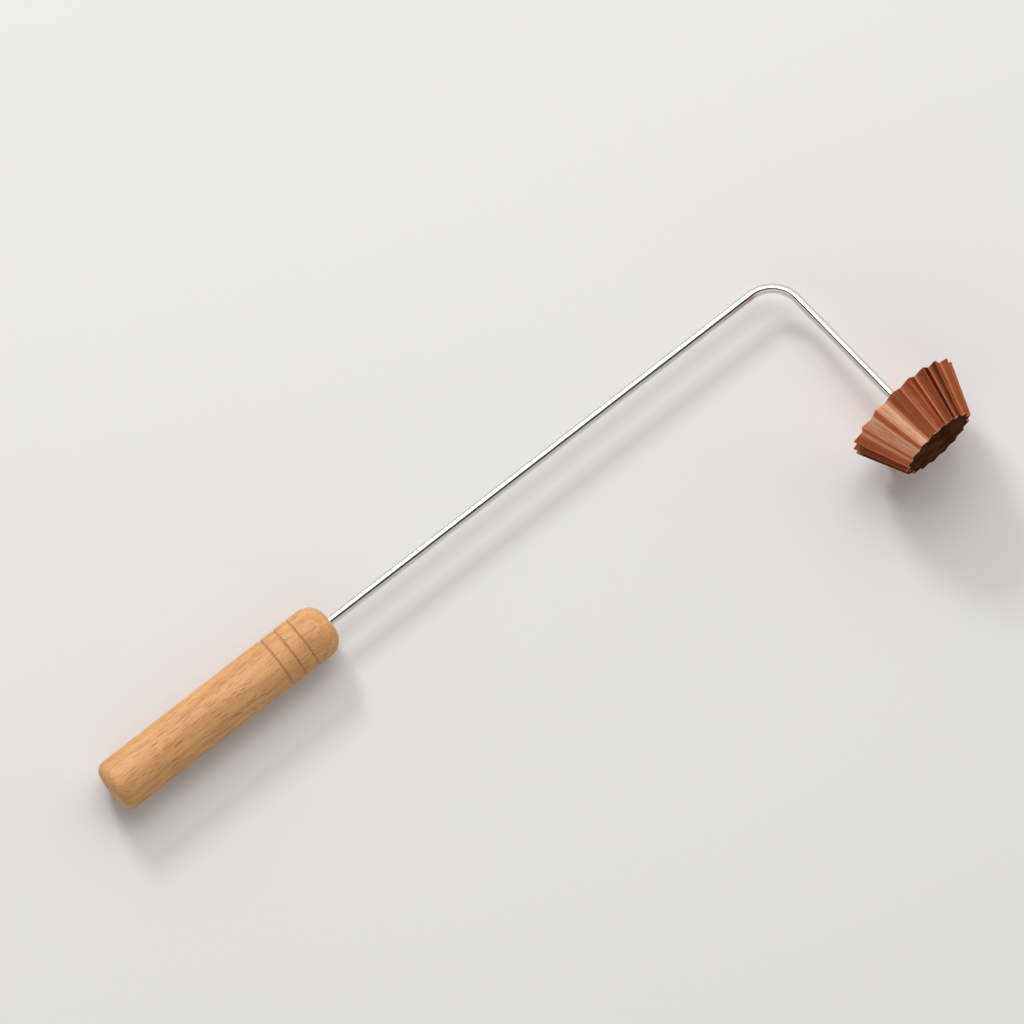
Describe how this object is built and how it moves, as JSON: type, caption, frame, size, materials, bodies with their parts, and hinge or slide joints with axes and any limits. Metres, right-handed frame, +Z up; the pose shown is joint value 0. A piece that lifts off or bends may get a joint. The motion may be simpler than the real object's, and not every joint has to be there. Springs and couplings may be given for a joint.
{
  "type": "fluted dipping iron",
  "caption": "Pastry iron: a solid fluted copper head on a steel rod bent nearly square, with a turned wooden handle. It is dipped in batter and held in hot oil to fry a pastry cup.",
  "frame": {"origin": "at table height, under the middle of the bounding box", "axes": "+X runs along the handle towards the bend, +Y points away from the head, +Z points up"},
  "size_m": [0.3708, 0.109, 0.053],
  "materials": {
    "beech": "turned smooth and left bare",
    "stainless_rod": "drawn bright bar",
    "stainless_nut": "turned",
    "stainless_washer": "punched and tumbled",
    "copper": "machined, bare copper with fine marks along the flutes"
  },
  "bodies": {
    "handle_and_rod": {"handle": "beech", "rod": "stainless_rod", "stop_nut": "stainless_nut"},
    "loose_washer": {"washer": "stainless_washer"},
    "head": {"fluted_head": "copper"}
  },
  "joints": [
    {"name": "washer_slide", "type": "slide", "parent": "handle_and_rod", "child": "loose_washer", "axis": [0.0785, -0.9759, 0.2038], "range_m": [0, 0.0084]},
    {"name": "head_turn", "type": "hinge", "parent": "loose_washer", "child": "head", "pos_m": [0.15827, -0.02949, 0.02649], "axis": [0.0785, -0.9759, 0.2038], "range_deg": [0, 4320]}
  ],
  "couplings": [
    {"joint": "washer_slide", "follows": "head_turn", "m_per_rad": 0.00011141}
  ]
}
